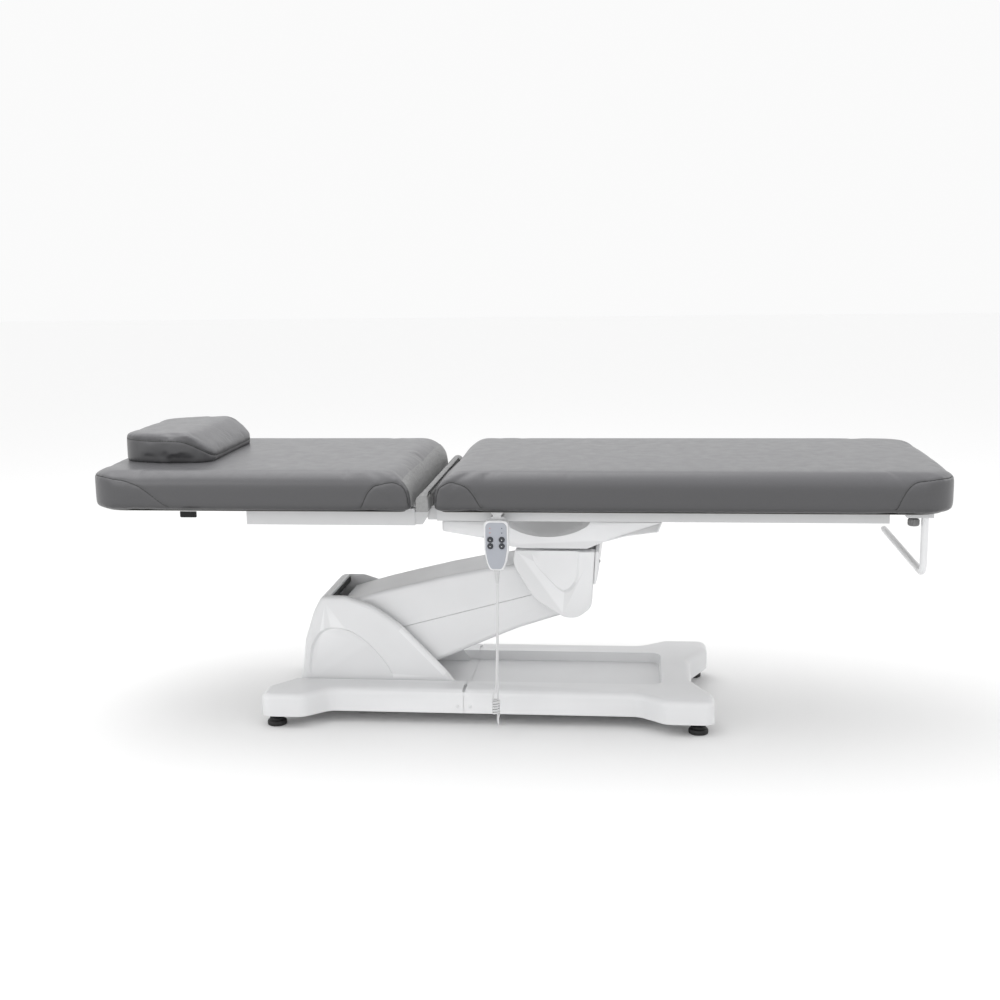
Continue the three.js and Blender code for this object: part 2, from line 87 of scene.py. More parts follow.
def modify(obj, kind, **values):
    """Add a modifier and apply it."""
    modifier = obj.modifiers.new(kind.lower(), kind)
    for key, value in values.items():
        setattr(modifier, key, value)
    select_only(obj)
    bpy.ops.object.modifier_apply(modifier=modifier.name)
    return obj


def round_edges(obj, width, segments=4, angle=38):
    return modify(obj, "BEVEL", width=width * MM, segments=segments, limit_method="ANGLE",
                  angle_limit=math.radians(angle), use_clamp_overlap=True)


def carve(obj, cutter, operation="DIFFERENCE"):
    modify(obj, "BOOLEAN", object=cutter, operation=operation, solver="EXACT")
    bpy.data.objects.remove(cutter)
    return obj


def shade(obj, angle=35, keep_flat=False):
    """Smooth shading up to an angle. Where flats are kept, the bevels beside them take all of the turn."""
    select_only(obj)
    bpy.ops.object.shade_smooth_by_angle(angle=math.radians(angle))
    if keep_flat:
        modify(obj, "WEIGHTED_NORMAL", keep_sharp=True, weight=60)
    return obj


def place_in_mesh(obj):
    select_only(obj)
    bpy.ops.object.transform_apply(location=True, rotation=True, scale=True)
    return obj


def block(name, low, high):
    """Box between two corners, in millimetres."""
    centre = [(a + b) / 2 * MM for a, b in zip(low, high)]
    bpy.ops.mesh.primitive_cube_add(size=1, location=centre, scale=[(b - a) * MM for a, b in zip(low, high)])
    return place_in_mesh(new_piece(name))


PLANES = {
    "xz": (lambda u, v, w: (u, w, v), (0, 1, 0)),
    "xy": (lambda u, v, w: (u, v, w), (0, 0, 1)),
    "yz": (lambda u, v, w: (w, u, v), (1, 0, 0)),
}


def slab(name, outline, low, high, plane="xz"):
    """Flat-sided body: an outline in a plane, extruded from low to high across it, in millimetres."""
    at, across = PLANES[plane]
    bpy.ops.mesh.primitive_circle_add(vertices=len(outline), radius=1, fill_type="NGON")
    obj = new_piece(name)
    obj.location = (0, 0, 0)
    for vertex, (u, v) in zip(obj.data.vertices, outline):
        vertex.co = Vector(at(u, v, low)) * MM
    push = Vector(across) * (high - low) * MM
    edit(obj,
         lambda: bpy.ops.mesh.extrude_region_move(TRANSFORM_OT_translate={"value": push}),
         lambda: bpy.ops.mesh.select_all(action="SELECT"),
         lambda: bpy.ops.mesh.normals_make_consistent(inside=False))
    return obj


def rod(name, centre, radius, low, high, axis="Z", sides=48):
    """Round bar along an axis. The centre is given in the two other axes, in X, Y, Z order."""
    middle, length = (low + high) / 2, high - low
    x, y = centre
    location = {"X": (middle, x, y), "Y": (x, middle, y), "Z": (x, y, middle)}[axis]
    turn = {"X": (0, math.pi / 2, 0), "Y": (math.pi / 2, 0, 0), "Z": (0, 0, 0)}[axis]
    bpy.ops.mesh.primitive_cylinder_add(vertices=sides, radius=radius * MM, depth=length * MM,
                                        location=[c * MM for c in location], rotation=turn)
    return place_in_mesh(new_piece(name))


def smooth_line(points, steps=8):
    """Catmull-Rom curve through points."""
    points = [Vector(p) for p in points]
    ends = [2 * points[0] - points[1], *points, 2 * points[-1] - points[-2]]
    line = []
    for a, b, c, d in zip(ends, ends[1:], ends[2:], ends[3:]):
        for i in range(steps):
            t = i / steps
            line.append(0.5 * ((2 * b) + (c - a) * t + (2 * a - 5 * b + 4 * c - d) * t * t
                               + (3 * b - a - 3 * c + d) * t ** 3))
    return [*line, points[-1]]


def rounded(corners, steps=10):
    """Outline with its corners rounded: each corner is (u, v, radius), or less where an edge is short."""
    outline = []
    for i, (u, v, radius) in enumerate(corners):
        corner = Vector((u, v))
        if not radius:
            outline.append((u, v))
            continue
        before = Vector(corners[i - 1][:2]) - corner
        after = Vector(corners[(i + 1) % len(corners)][:2]) - corner
        half = before.angle(after) / 2
        share = [0.47 if corners[k][2] else 0.97 for k in (i - 1, (i + 1) % len(corners))]
        tangent = min(radius / math.tan(half), share[0] * before.length, share[1] * after.length)
        start, end = before.normalized() * tangent, after.normalized() * tangent
        centre = (start + end).normalized() * (tangent / math.cos(half))
        start, end = start - centre, end - centre
        sweep = math.atan2(start.x * end.y - start.y * end.x, start.dot(end))
        for k in range(steps + 1):
            turn = sweep * k / steps
            c, s = math.cos(turn), math.sin(turn)
            turned_u = start.x * c - start.y * s
            turned_v = start.x * s + start.y * c
            outline.append((turned_u + centre.x + u, turned_v + centre.y + v))
    return outline


def tube(name, line, radius, sides=12, closed=False):
    """Round tube along a line of points, in metres, with its ends closed."""
    curve = bpy.data.curves.new(name, "CURVE")
    curve.dimensions = "3D"
    curve.bevel_depth = radius
    curve.bevel_resolution = max(1, sides // 4 - 1)
    curve.use_fill_caps = not closed
    spline = curve.splines.new("POLY")
    spline.points.add(len(line) - 1)
    spline.use_cyclic_u = closed
    for point, place in zip(spline.points, line):
        point.co = (*place, 1)
    obj = bpy.data.objects.new(name, curve)
    bpy.context.scene.collection.objects.link(obj)
    select_only(obj)
    bpy.ops.object.convert(target="MESH")
    return bpy.context.object


def join(obj, *others):
    select_only(obj)
    for other in others:
        other.select_set(True)
    bpy.ops.object.join()
    return obj


def copy_node(node, name):
    """Copy of a frame node with its loose triangles merged into whole faces."""
    source = frame["nodes"][node]
    obj = source.copy()
    obj.data = source.data.copy()
    for key in list(obj.keys()):
        del obj[key]
    obj.parent = None
    obj.name = obj.data.name = name
    bpy.context.scene.collection.objects.link(obj)
    return edit(obj,
                lambda: bpy.ops.mesh.remove_doubles(threshold=0.00002),
                lambda: bpy.ops.mesh.customdata_custom_splitnormals_clear(),
                lambda: bpy.ops.mesh.dissolve_limited(angle_limit=math.radians(1)))


def finish_piece(obj, body, slot, material, *nodes, angle=35, keep_flat=True):
    obj.data.materials.clear()
    obj.data.materials.append(material)
    shade(obj, angle, keep_flat)
    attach(obj, body)
    if nodes:
        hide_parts(*nodes)
    return obj


def body_of_node(node):
    groups = frame["record"]["behaviour"]["bodies"]
    return next(body for body, nodes in groups.items() if node in nodes)


# ------------------------------------------------------------------ effects and materials
def effect(name, inputs, outputs):
    """Empty shader node group with named sockets."""
    group = bpy.data.node_groups.new(name, "ShaderNodeTree")
    for socket, kind, value in inputs:
        made = group.interface.new_socket(socket, in_out="INPUT", socket_type=kind)
        made.default_value = value
    for socket, kind in outputs:
        group.interface.new_socket(socket, in_out="OUTPUT", socket_type=kind)
    return group, group.nodes.new("NodeGroupInput"), group.nodes.new("NodeGroupOutput")


def node(tree, kind, **values):
    made = tree.nodes.new(kind)
    for key, value in values.items():
        if hasattr(made, key):
            setattr(made, key, value)
        else:
            made.inputs[key].default_value = value
    return made


def mix_colours(tree, factor, a, b):
    mix = node(tree, "ShaderNodeMix", data_type="RGBA")
    tree.links.new(factor, mix.inputs[0])
    for socket, source in ((mix.inputs[6], a), (mix.inputs[7], b)):
        if isinstance(source, bpy.types.NodeSocket):
            tree.links.new(source, socket)
        else:
            socket.default_value = source
    return mix.outputs[2]


def grain_and_side_shade_effect():
    """Pebbled skin of coated cloth: cells, fine pores and slow waves, and painted shade that darkens its
    upright sides and undersides.
    """
    group, inside, outside = effect(
        "pebble_grain_and_side_shade",
        [("Scale", "NodeSocketFloat", 900.0), ("Base", "NodeSocketColor", (0.2, 0.2, 0.2, 1)),
         ("Deep", "NodeSocketColor", (0.1, 0.1, 0.1, 1)), ("Side", "NodeSocketColor", (0.2, 0.2, 0.2, 1)),
         ("Roughness", "NodeSocketFloat", 0.45)],
        [("Color", "NodeSocketColor"), ("Roughness", "NodeSocketFloat"), ("Height", "NodeSocketFloat")])
    link = group.links.new
    place = node(group, "ShaderNodeTexCoord")
    cells = node(group, "ShaderNodeTexVoronoi", feature="SMOOTH_F1")
    cells.inputs["Randomness"].default_value = 1
    pores = node(group, "ShaderNodeTexNoise", Scale=2600.0, Detail=2.0)
    waves = node(group, "ShaderNodeTexNoise", Scale=5.0, Detail=2.0)
    wander = node(group, "ShaderNodeTexNoise", Scale=38.0, Detail=3.0)
    link(inside.outputs["Scale"], cells.inputs["Scale"])
    for texture in (cells, pores, waves, wander):
        link(place.outputs["Object"], texture.inputs["Vector"])
    height = node(group, "ShaderNodeMath", operation="MULTIPLY_ADD")
    link(pores.outputs["Fac"], height.inputs[0])
    height.inputs[1].default_value = 0.25
    link(cells.outputs["Distance"], height.inputs[2])
    link(height.outputs[0], outside.inputs["Height"])
    tone = node(group, "ShaderNodeMapRange")
    link(cells.outputs["Distance"], tone.inputs["Value"])
    tone.inputs["From Min"].default_value = 0.15
    tone.inputs["From Max"].default_value = 0.75
    shaded = mix_colours(group, tone.outputs[0], inside.outputs["Base"], inside.outputs["Deep"])
    slow = node(group, "ShaderNodeMapRange")
    link(waves.outputs["Fac"], slow.inputs["Value"])
    slow.inputs["To Min"].default_value = 0.0
    slow.inputs["To Max"].default_value = 0.3
    top = mix_colours(group, slow.outputs[0], shaded, inside.outputs["Base"])
    # Painted shade: by its object-space normal, a face darkens to the side colour as it turns from facing up
    # to upright and facing down.
    facing = node(group, "ShaderNodeSeparateXYZ")
    link(place.outputs["Normal"], facing.inputs[0])
    painted_side_shade_mask = node(group, "ShaderNodeMapRange")
    link(facing.outputs["Z"], painted_side_shade_mask.inputs["Value"])
    painted_side_shade_mask.inputs["From Min"].default_value = -0.3
    painted_side_shade_mask.inputs["From Max"].default_value = 0.9
    link(mix_colours(group, painted_side_shade_mask.outputs[0], inside.outputs["Side"], top), outside.inputs["Color"])
    rough = node(group, "ShaderNodeMath", operation="MULTIPLY_ADD")
    link(wander.outputs["Fac"], rough.inputs[0])
    rough.inputs[1].default_value = 0.16
    link(inside.outputs["Roughness"], rough.inputs[2])
    link(rough.outputs[0], outside.inputs["Roughness"])
    return group


def skin_effect():
    """Moulded or painted skin: faint mottling, orange peel, edges that show handling, and painted shade in
    its hollows.
    """
    group, inside, outside = effect(
        "skin_wear_and_hollow_shade",
        [("Base", "NodeSocketColor", (0.8, 0.8, 0.8, 1)), ("Edge", "NodeSocketColor", (0.9, 0.9, 0.9, 1)),
         ("Mottle and Hollow Shade", "NodeSocketColor", (0.6, 0.6, 0.6, 1)), ("Roughness", "NodeSocketFloat", 0.35),
         ("Peel", "NodeSocketFloat", 400.0)],
        [("Color", "NodeSocketColor"), ("Roughness", "NodeSocketFloat"), ("Height", "NodeSocketFloat")])
    link = group.links.new
    place = node(group, "ShaderNodeTexCoord")
    peel = node(group, "ShaderNodeTexNoise", Detail=3.0)
    link(inside.outputs["Peel"], peel.inputs["Scale"])
    mottle = node(group, "ShaderNodeTexNoise", Scale=14.0, Detail=4.0)
    for texture in (peel, mottle):
        link(place.outputs["Object"], texture.inputs["Vector"])
    link(peel.outputs["Fac"], outside.inputs["Height"])
    edges = node(group, "ShaderNodeNewGeometry")
    worn = node(group, "ShaderNodeMapRange")
    link(edges.outputs["Pointiness"], worn.inputs["Value"])
    worn.inputs["From Min"].default_value = 0.52
    worn.inputs["From Max"].default_value = 0.62
    # Painted shade: the colour darkens where the surface curves in.
    painted_hollow_shade = node(group, "ShaderNodeMapRange")
    link(edges.outputs["Pointiness"], painted_hollow_shade.inputs["Value"])
    painted_hollow_shade.inputs["From Min"].default_value = 0.49
    painted_hollow_shade.inputs["From Max"].default_value = 0.4
    first = mix_colours(group, worn.outputs[0], inside.outputs["Base"], inside.outputs["Edge"])
    second = mix_colours(group, painted_hollow_shade.outputs[0], first, inside.outputs["Mottle and Hollow Shade"])
    faint = node(group, "ShaderNodeMapRange")
    link(mottle.outputs["Fac"], faint.inputs["Value"])
    faint.inputs["To Max"].default_value = 0.22
    link(mix_colours(group, faint.outputs[0], second, inside.outputs["Mottle and Hollow Shade"]), outside.inputs["Color"])
    rough = node(group, "ShaderNodeMath", operation="MULTIPLY_ADD")
    link(mottle.outputs["Fac"], rough.inputs[0])
    rough.inputs[1].default_value = 0.12
    link(inside.outputs["Roughness"], rough.inputs[2])
    link(rough.outputs[0], outside.inputs["Roughness"])
    return group


GRAIN_AND_SIDE_SHADE = grain_and_side_shade_effect()
SKIN = skin_effect()


def shader(name, group, inputs, bump, distance, **plain):
    """Material whose colour, roughness and relief come from an effect, and the rest from plain values."""
    material = bpy.data.materials.new(name)
    material.use_nodes = True
    tree = material.node_tree
    surface = tree.nodes["Principled BSDF"]
    made = tree.nodes.new("ShaderNodeGroup")
    made.node_tree = group
    for key, value in inputs.items():
        made.inputs[key].default_value = value
    relief = node(tree, "ShaderNodeBump", Strength=bump, Distance=distance)
    tree.links.new(made.outputs["Height"], relief.inputs["Height"])
    tree.links.new(made.outputs["Color"], surface.inputs["Base Color"])
    tree.links.new(made.outputs["Roughness"], surface.inputs["Roughness"])
    tree.links.new(relief.outputs["Normal"], surface.inputs["Normal"])
    for key, value in plain.items():
        surface.inputs[key].default_value = value
    return material


def grey(value, tint=(1, 1, 1)):
    return (*(value * t for t in tint), 1)


def skin(name, base, roughness, metallic=0.0, tint=(1, 1, 1), peel=400.0, bump=0.05, edge=1.12):
    """Moulded or painted finish. Its worn edges are the base colour times edge."""
    # Share of the base colour that the mottling and the painted shade in hollows go down to.
    hollow = 0.82
    inputs = {"Base": grey(base, tint), "Edge": grey(min(base * edge, 1), tint),
              "Mottle and Hollow Shade": grey(base * hollow, tint), "Roughness": roughness, "Peel": peel}
    return shader(name, SKIN, inputs, bump, 0.0006, Metallic=metallic)


COOL = (0.985, 0.99, 1.0)
VIOLET = (0.985, 0.98, 1.03)
# Each coated cloth's side colour is painted shade for its upright sides and undersides.
VINYL = shader("grey_vinyl", GRAIN_AND_SIDE_SHADE,
               {"Scale": 850.0, "Base": grey(0.16, VIOLET), "Deep": grey(0.13, (0.98, 0.975, 1.03)),
                "Side": grey(0.05, VIOLET), "Roughness": 0.27}, 0.3, 0.0004, **{"Specular IOR Level": 0.62})
PIPING = shader("vinyl_seam", GRAIN_AND_SIDE_SHADE,
                {"Scale": 1500.0, "Base": grey(0.08), "Deep": grey(0.05), "Side": grey(0.035),
                 "Roughness": 0.6}, 0.4, 0.0002)
STRIP = shader("strip_vinyl", GRAIN_AND_SIDE_SHADE,
               {"Scale": 190.0, "Base": grey(0.34, (1, 1, 1.01)), "Deep": grey(0.17), "Side": grey(0.3),
                "Roughness": 0.5}, 0.9, 0.0012)
SHELL = skin("white_moulding", 0.80, 0.30, tint=COOL, peel=260.0, bump=0.06)
FRAME_PAINT = skin("grey_frame_paint", 0.62, 0.36, metallic=0.15, tint=COOL, peel=900.0, bump=0.08)
BAR_PAINT = skin("white_bar_paint", 0.82, 0.24, tint=COOL, peel=700.0, bump=0.04)
STEEL = skin("dark_steel_paint", 0.06, 0.42, metallic=0.3, peel=900.0, bump=0.1, edge=1.8)
CHROME = skin("polished_steel", 0.62, 0.12, metallic=1.0, peel=1200.0, bump=0.02)
MOTOR = skin("motor_plastic", 0.04, 0.5, peel=1500.0, bump=0.25, edge=1.5)
RUBBER = skin("black_rubber", 0.012, 0.55, peel=1400.0, bump=0.3, edge=2.0)
PLY = skin("board_backing", 0.16, 0.75, tint=(1, 0.97, 0.93), peel=500.0, bump=0.3)
HANDSET_WHITE = skin("handset_moulding", 0.82, 0.3, tint=COOL, peel=900.0)
HANDSET_GREY = skin("handset_panel", 0.42, 0.34, tint=(0.94, 0.98, 1.08), peel=1400.0, bump=0.1)
BUTTON = skin("handset_key", 0.035, 0.3, tint=(0.9, 1.0, 1.2), peel=1800.0, bump=0.08, edge=2.5)
MARK_BLUE = skin("key_mark_dark", 0.10, 0.5, tint=(0.85, 0.95, 1.2))
MARK_RED = skin("key_mark_red", 0.45, 0.5, tint=(1.1, 0.45, 0.4))
CABLE = skin("cable_jacket", 0.66, 0.32, tint=COOL, peel=1500.0, bump=0.08)
LABEL = shader("black_label", GRAIN_AND_SIDE_SHADE,
               {"Scale": 1800.0, "Base": grey(0.012), "Deep": grey(0.005), "Side": grey(0.01),
                "Roughness": 0.8}, 0.6, 0.0003)
KNOB = skin("grey_knob", 0.17, 0.42, peel=1200.0, bump=0.2, edge=1.4)

SLOTS = {
    "white_shell": SHELL, "dark_steel": STEEL, "black_rubber": RUBBER, "motor_plastic": MOTOR,
    "polished_rod": CHROME, "grey_frame": FRAME_PAINT, "plywood": PLY, "grey_vinyl": VINYL,
    "strip_vinyl": STRIP, "black_label": LABEL, "handset_white": HANDSET_WHITE,
    "handset_panel": HANDSET_GREY, "handset_button": BUTTON, "cable_grey": CABLE, "white_bar": BAR_PAINT,
    "grey_knob": KNOB,
}


# ------------------------------------------------------------------ stage
def build_stage():
    yaw, pitch, roll = 0.105, 0.179, -0.014
    forward = Vector((-math.sin(yaw) * math.cos(pitch), math.cos(yaw) * math.cos(pitch), -math.sin(pitch)))
    right = Vector((math.cos(yaw), math.sin(yaw), 0))
    up = right.cross(forward)
    across = right * math.cos(roll) + up * math.sin(roll)
    upright = up * math.cos(roll) - right * math.sin(roll)
    data = bpy.data.cameras.new("camera")
    data.lens, data.sensor_width = 49.3, 36
    camera = bpy.data.objects.new("camera", data)
    camera.matrix_world = Matrix.Translation((0.289, -3.214, 1.082)) @ Matrix(
        (across, upright, -forward)).transposed().to_4x4()
    bpy.context.scene.collection.objects.link(camera)
    bpy.context.scene.camera = camera

    bpy.ops.mesh.primitive_plane_add(size=40, location=(0, 0, 0))
    floor = new_piece("floor")
    paint = bpy.data.materials.new("floor_white")
    paint.use_nodes = True
    surface = paint.node_tree.nodes["Principled BSDF"]
    surface.inputs["Base Color"].default_value = (0.98, 0.98, 0.98, 1)
    surface.inputs["Roughness"].default_value = 1
    surface.inputs["Specular IOR Level"].default_value = 0.1
    floor.data.materials.append(paint)

    world = bpy.data.worlds.new("studio")
    world.use_nodes = True
    sky = world.node_tree.nodes["Background"]
    sky.inputs["Color"].default_value = (1, 1, 1, 1)
    sky.inputs["Strength"].default_value = 0.96
    bpy.context.scene.world = world
    for name, place, size, power in (
            ("top_light", (-0.9, 0.4, 3.2), (3.6, 2.4), 34),
            ("front_light", (-2.4, -3.2, 2.0), (2.0, 1.6), 12),
            ("foot_light", (3.4, 0.9, 1.8), (1.6, 1.6), 8)):
        lamp = bpy.data.lights.new(name, "AREA")
        lamp.shape, lamp.size, lamp.size_y, lamp.energy = "RECTANGLE", *size, power
        light = bpy.data.objects.new(name, lamp)
        light.location = place
        light.rotation_euler = (Vector((0, 0, 0.4)) - Vector(place)).to_track_quat("-Z", "Y").to_euler()
        bpy.context.scene.collection.objects.link(light)
    bpy.context.scene.view_settings.view_transform = "Standard"


build_stage()


# ------------------------------------------------------------------ handset cord
CORD_RADIUS = 2.2


def curl_line(centre, radius, low, high, turn_in, pitch):
    """Curly stretch from its low end up: each end bends from straight up into the coil along its back."""
    steps, straight = 12, math.pi / 2
    slope = math.atan2(pitch, 2 * math.pi * radius)
    bends = [straight - (straight - slope) * k / steps for k in range(steps)]
    stride = turn_in / steps
    lead = sum(stride * math.sin(b) for b in bends)
    coil = (high - low - 2 * lead) / math.sin(slope)
    count = math.ceil(coil / 1.6)
    climbs = [(b, stride) for b in bends] + [(slope, coil / count)] * count
    climbs += [(b, stride) for b in reversed(bends)]
    travel = sum(math.cos(b) * d for b, d in climbs) / radius
    angle, level = math.pi / 2 - (travel % (2 * math.pi)) / 2, low
    line = []
    for climb, distance in climbs:
        line.append((centre[0] + radius * math.cos(angle), centre[1] + radius * math.sin(angle), level))
        angle += math.cos(climb) * distance / radius
        level += math.sin(climb) * distance
    return line


def cord_line():
    """From the gland down, round under the curly stretch, up through its turns to the handset."""
    curl = curl_line((-35, -288), radius=7.4, low=51, high=103, turn_in=13, pitch=6.1)
    (x0, y0, _), (x1, y1, _) = curl[0], curl[-1]
    down = [
        (-32.6, -246, 469.7), (-32.6, -246, 450), (-32.6, -246.5, 420), (-32.6, -249, 350),
        (-32.6, -252, 260), (-32.7, -256, 170), (-33, -259, 100), (-33.4, -261, 60), (-33.7, -262, 46),
        (-34, -264.7, 39.4),
        ((x0 - 34.2) / 2, -271.3, 36.7), (x0 + 0.2, y0 + 2.7, 39.4), (x0, y0, 46),
    ]
    rise = [
        (x1, y1, 106), (-34.7, -281.6, 125), (-33.2, -283.5, 160), (-31, -286, 210), (-29.4, -287.5, 260),
        (-28.4, -288, 310), (-28, -288, 350), (-28, -288, 361.7),
    ]
    return [point * MM for point in [*smooth_line(down, 5), *map(Vector, curl), *smooth_line(rise, 4)]]


def build_cord():
    line = cord_line()
    obj = tube("handset_cord", line, CORD_RADIUS * MM, 12)
    obj.data.materials.append(CABLE)
    shade(obj, 60)
    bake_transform(obj)
    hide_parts("cord_drop", "cord_curl", "cord_return")


build_cord()


# ------------------------------------------------------------------ upholstery
PUFF_PRESSURE = 4.0
PUFF_STEPS = 20


def puff(obj, voxel, cap):
    """Remesh, inflate as cloth, and keep each point within the cap of where it began."""
    modify(obj, "REMESH", mode="VOXEL", voxel_size=voxel)
    modify(obj, "CORRECTIVE_SMOOTH", iterations=6, use_only_smooth=True)
    start = [v.co.copy() for v in obj.data.vertices]
    cloth = obj.modifiers.new("cloth", "CLOTH")
    cloth.settings.quality = 4
    cloth.settings.use_pressure = True
    cloth.settings.uniform_pressure_force = PUFF_PRESSURE
    cloth.settings.effector_weights.gravity = 0
    scene = bpy.context.scene
    for step in range(1, PUFF_STEPS + 1):
        scene.frame_set(step)
    swollen = obj.evaluated_get(bpy.context.evaluated_depsgraph_get()).data
    places = [v.co.copy() for v in swollen.vertices]
    obj.modifiers.remove(cloth)
    scene.frame_set(1)
    for vertex, old, new in zip(obj.data.vertices, start, places):
        move = new - old
        if move.length > cap:
            move = move.normalized() * cap
        vertex.co = old + move
    return obj


def seam_line(obj, route):
    """Route in millimetres, laid on the piece's surface."""
    tree = BVHTree.FromObject(obj, bpy.context.evaluated_depsgraph_get())
    line = []
    for point in smooth_line(route, 10):
        place, normal, _, _ = tree.find_nearest(point * MM)
        line.append((place, normal))
    return line


def press_seams(obj, lines, width, depth, pucker):
    """Draw the padding in along its seams, with small puckers beside them."""
    places = [(place, normal) for line in lines for place, normal in line]
    tree = KDTree(len(places))
    for i, (place, _) in enumerate(places):
        tree.insert(place, i)
    tree.balance()
    reach, pucker_reach, pucker_step = 6 * width, 3 * width, 0.9
    for vertex in obj.data.vertices:
        place, i, distance = tree.find(vertex.co)
        if distance < reach:
            normal = places[i][1]
            groove = math.exp(-(distance / width) ** 2)
            ripple = math.sin(i * pucker_step) * math.exp(-(distance / pucker_reach) ** 2) * (1 - groove)
            vertex.co -= normal * (depth * groove + pucker * ripple)


def stitched(obj, name, routes, body, width=2.6):
    """Press seams into a cushion and lay a welt in each of them."""
    lines = [seam_line(obj, route) for route in routes]
    press_seams(obj, lines, width * MM, 1.5 * MM, 0.35 * MM)
    for i, line in enumerate(lines):
        sunk = [place - normal * 1.1 * MM for place, normal in line]
        welt = tube(f"{name}_seam_{i + 1}", sunk, 0.95 * MM, 8)
        finish_piece(welt, body, "grey_vinyl", PIPING, angle=60, keep_flat=False)


def section_blank(name, gap_end, outer_end, shrink):
    """Padding before it swells: round corners in plan, a round gap side, soft top edges."""
    out = 1 if outer_end > gap_end else -1
    width, bottom, top = 310 - shrink, 523.5, 607 - shrink
    inner, outer = gap_end + out * shrink, outer_end - out * shrink
    corner = outer - out * 15
    plan = rounded([(inner, -width, 12), (corner, -width, 88), (outer, 0, 9000), (corner, width, 88),
                    (inner, width, 12)], 14)
    obj = slab(name, plan, bottom, top, "xy")
    side = rounded([(inner, bottom - 5, 0), (inner, top, 58), (outer, top, 30), (outer, bottom, 12)], 12)
    carve(obj, slab("side", side, -400, 400), "INTERSECT")
    end = rounded([(-width, bottom, 9), (-width, top, 27), (width, top, 27), (width, bottom, 9)], 10)
    return carve(obj, slab("end", end, -1000, 1000, "yz"), "INTERSECT")


def flatten_under(obj, level):
    """The underside is stapled to its board, so it stays flat."""
    for vertex in obj.data.vertices:
        if vertex.co.z < level:
            vertex.co.z = level


def crown(obj, low, high, rise):
    """Raise the middle of the top a little."""
    middle, reach = (low + high) / 2, (high - low) / 2
    for vertex in obj.data.vertices:
        if vertex.co.z > middle.z:
            u = (vertex.co.x - middle.x) / reach.x
            v = (vertex.co.y - middle.y) / reach.y
            lift = max(0, 1 - u ** 4) * max(0, 1 - v * v)
            vertex.co.z += rise * lift * (vertex.co.z - middle.z) / reach.z


def build_section(name, body, gap_end, outer_end, routes):
    obj = section_blank(f"{name}_padding", gap_end, outer_end, 3)
    puff(obj, 6 * MM, 7 * MM)
    low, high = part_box(f"{name}_cushion")
    crown(obj, low, high, 2.5 * MM)
    flatten_under(obj, 522.8 * MM)
    modify(obj, "SUBSURF", levels=1, render_levels=1)
    if name == "back":
        gap_facing(obj)
    mirrored = [[(x, -y, z) for x, y, z in route] for route in routes[1:]]
    stitched(obj, name, [*routes, *mirrored], body)
    finish_piece(obj, body, "grey_vinyl", VINYL, f"{name}_cushion", f"{name}_board", angle=70,
                 keep_flat=False)

    low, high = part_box(f"{name}_board")
    inset, half_width = 22, 286
    ends = [low.x * 1000 + inset, high.x * 1000 - inset]
    plan = rounded([(x, side * half_width, 70 if abs(x) > 800 else 12)
                    for side in (-1, 1) for x in ends[::side]], 8)
    under = slab(f"{name}_underside", plan, 521.2, 522.6, "xy")
    round_edges(under, 0.6, 2)
    finish_piece(under, body, "plywood", PLY)


def gap_facing(padding):
    """Textured cloth over the rounded gap side of the backrest, cut from its own surface."""
    obj = padding.copy()
    obj.data = padding.data.copy()
    obj.name = obj.data.name = "gap_facing"
    bpy.context.scene.collection.objects.link(obj)
    cuts = [((-0.236, 0, 0), (1, 0, 0)), ((0, 0, 0.536), (0, 0, 1)), ((0, -0.291, 0), (0, 1, 0)),
            ((0, 0.291, 0), (0, -1, 0))]
    for place, normal in cuts:
        edit(obj, lambda: bpy.ops.mesh.bisect(plane_co=place, plane_no=normal, clear_inner=True))
    modify(obj, "SOLIDIFY", thickness=1.1 * MM, offset=1)
    finish_piece(obj, "backrest", "strip_vinyl", STRIP, angle=50, keep_flat=False)


def near_side(pairs):
    return [(x, -310, z) for x, z in pairs]


def end_route(direction, side_points, edge):
    """Seam of an end panel: up the near side, along the end's top edge, and down the far side."""
    near = near_side(side_points)
    turn = [(direction * (edge - 26), -291, 606), (direction * (edge - 8), -268, 606)]
    across = [(direction * (edge + step), y, 603) for step, y in ((0, -225), (5, -120), (7, 0))]
    half = [*near, *turn, *across]
    return [*half, *[(x, -y, z) for x, y, z in reversed(half[:-1])]]


def build_upholstery():
    back_arch = [(-328, 526), (-312, 564), (-289, 587), (-258, 594), (-233, 587), (-216, 565), (-206, 535)]
    seat_arch = [(-173, 545), (-156, 578), (-126, 595), (-97, 584), (-77, 561), (-58, 526)]
    head = end_route(-1, [(-763, 526), (-819, 572), (-856, 596), (-888, 607)], 958)
    foot = end_route(1, [(822, 526), (842, 571), (862, 600), (884, 610)], 958)
    build_section("back", "backrest", -207, -976, [head, near_side(back_arch)])
    build_section("seat", "carriage", -174, 976, [foot, near_side(seat_arch)])

    strip = copy_node("gap_strip", "gap_pad")
    round_edges(strip, 2.5, 3)
    finish_piece(strip, "carriage", "strip_vinyl", STRIP, "gap_strip")
    outline = rounded([(-735, 510, 3), (-697, 510, 3), (-697, 524, 1), (-735, 524, 1)], 4)
    tag = slab("side_tag", outline, -306, -304.4)
    round_edges(tag, 0.5, 2)
    finish_piece(tag, "backrest", "black_label", LABEL, "label_tag")


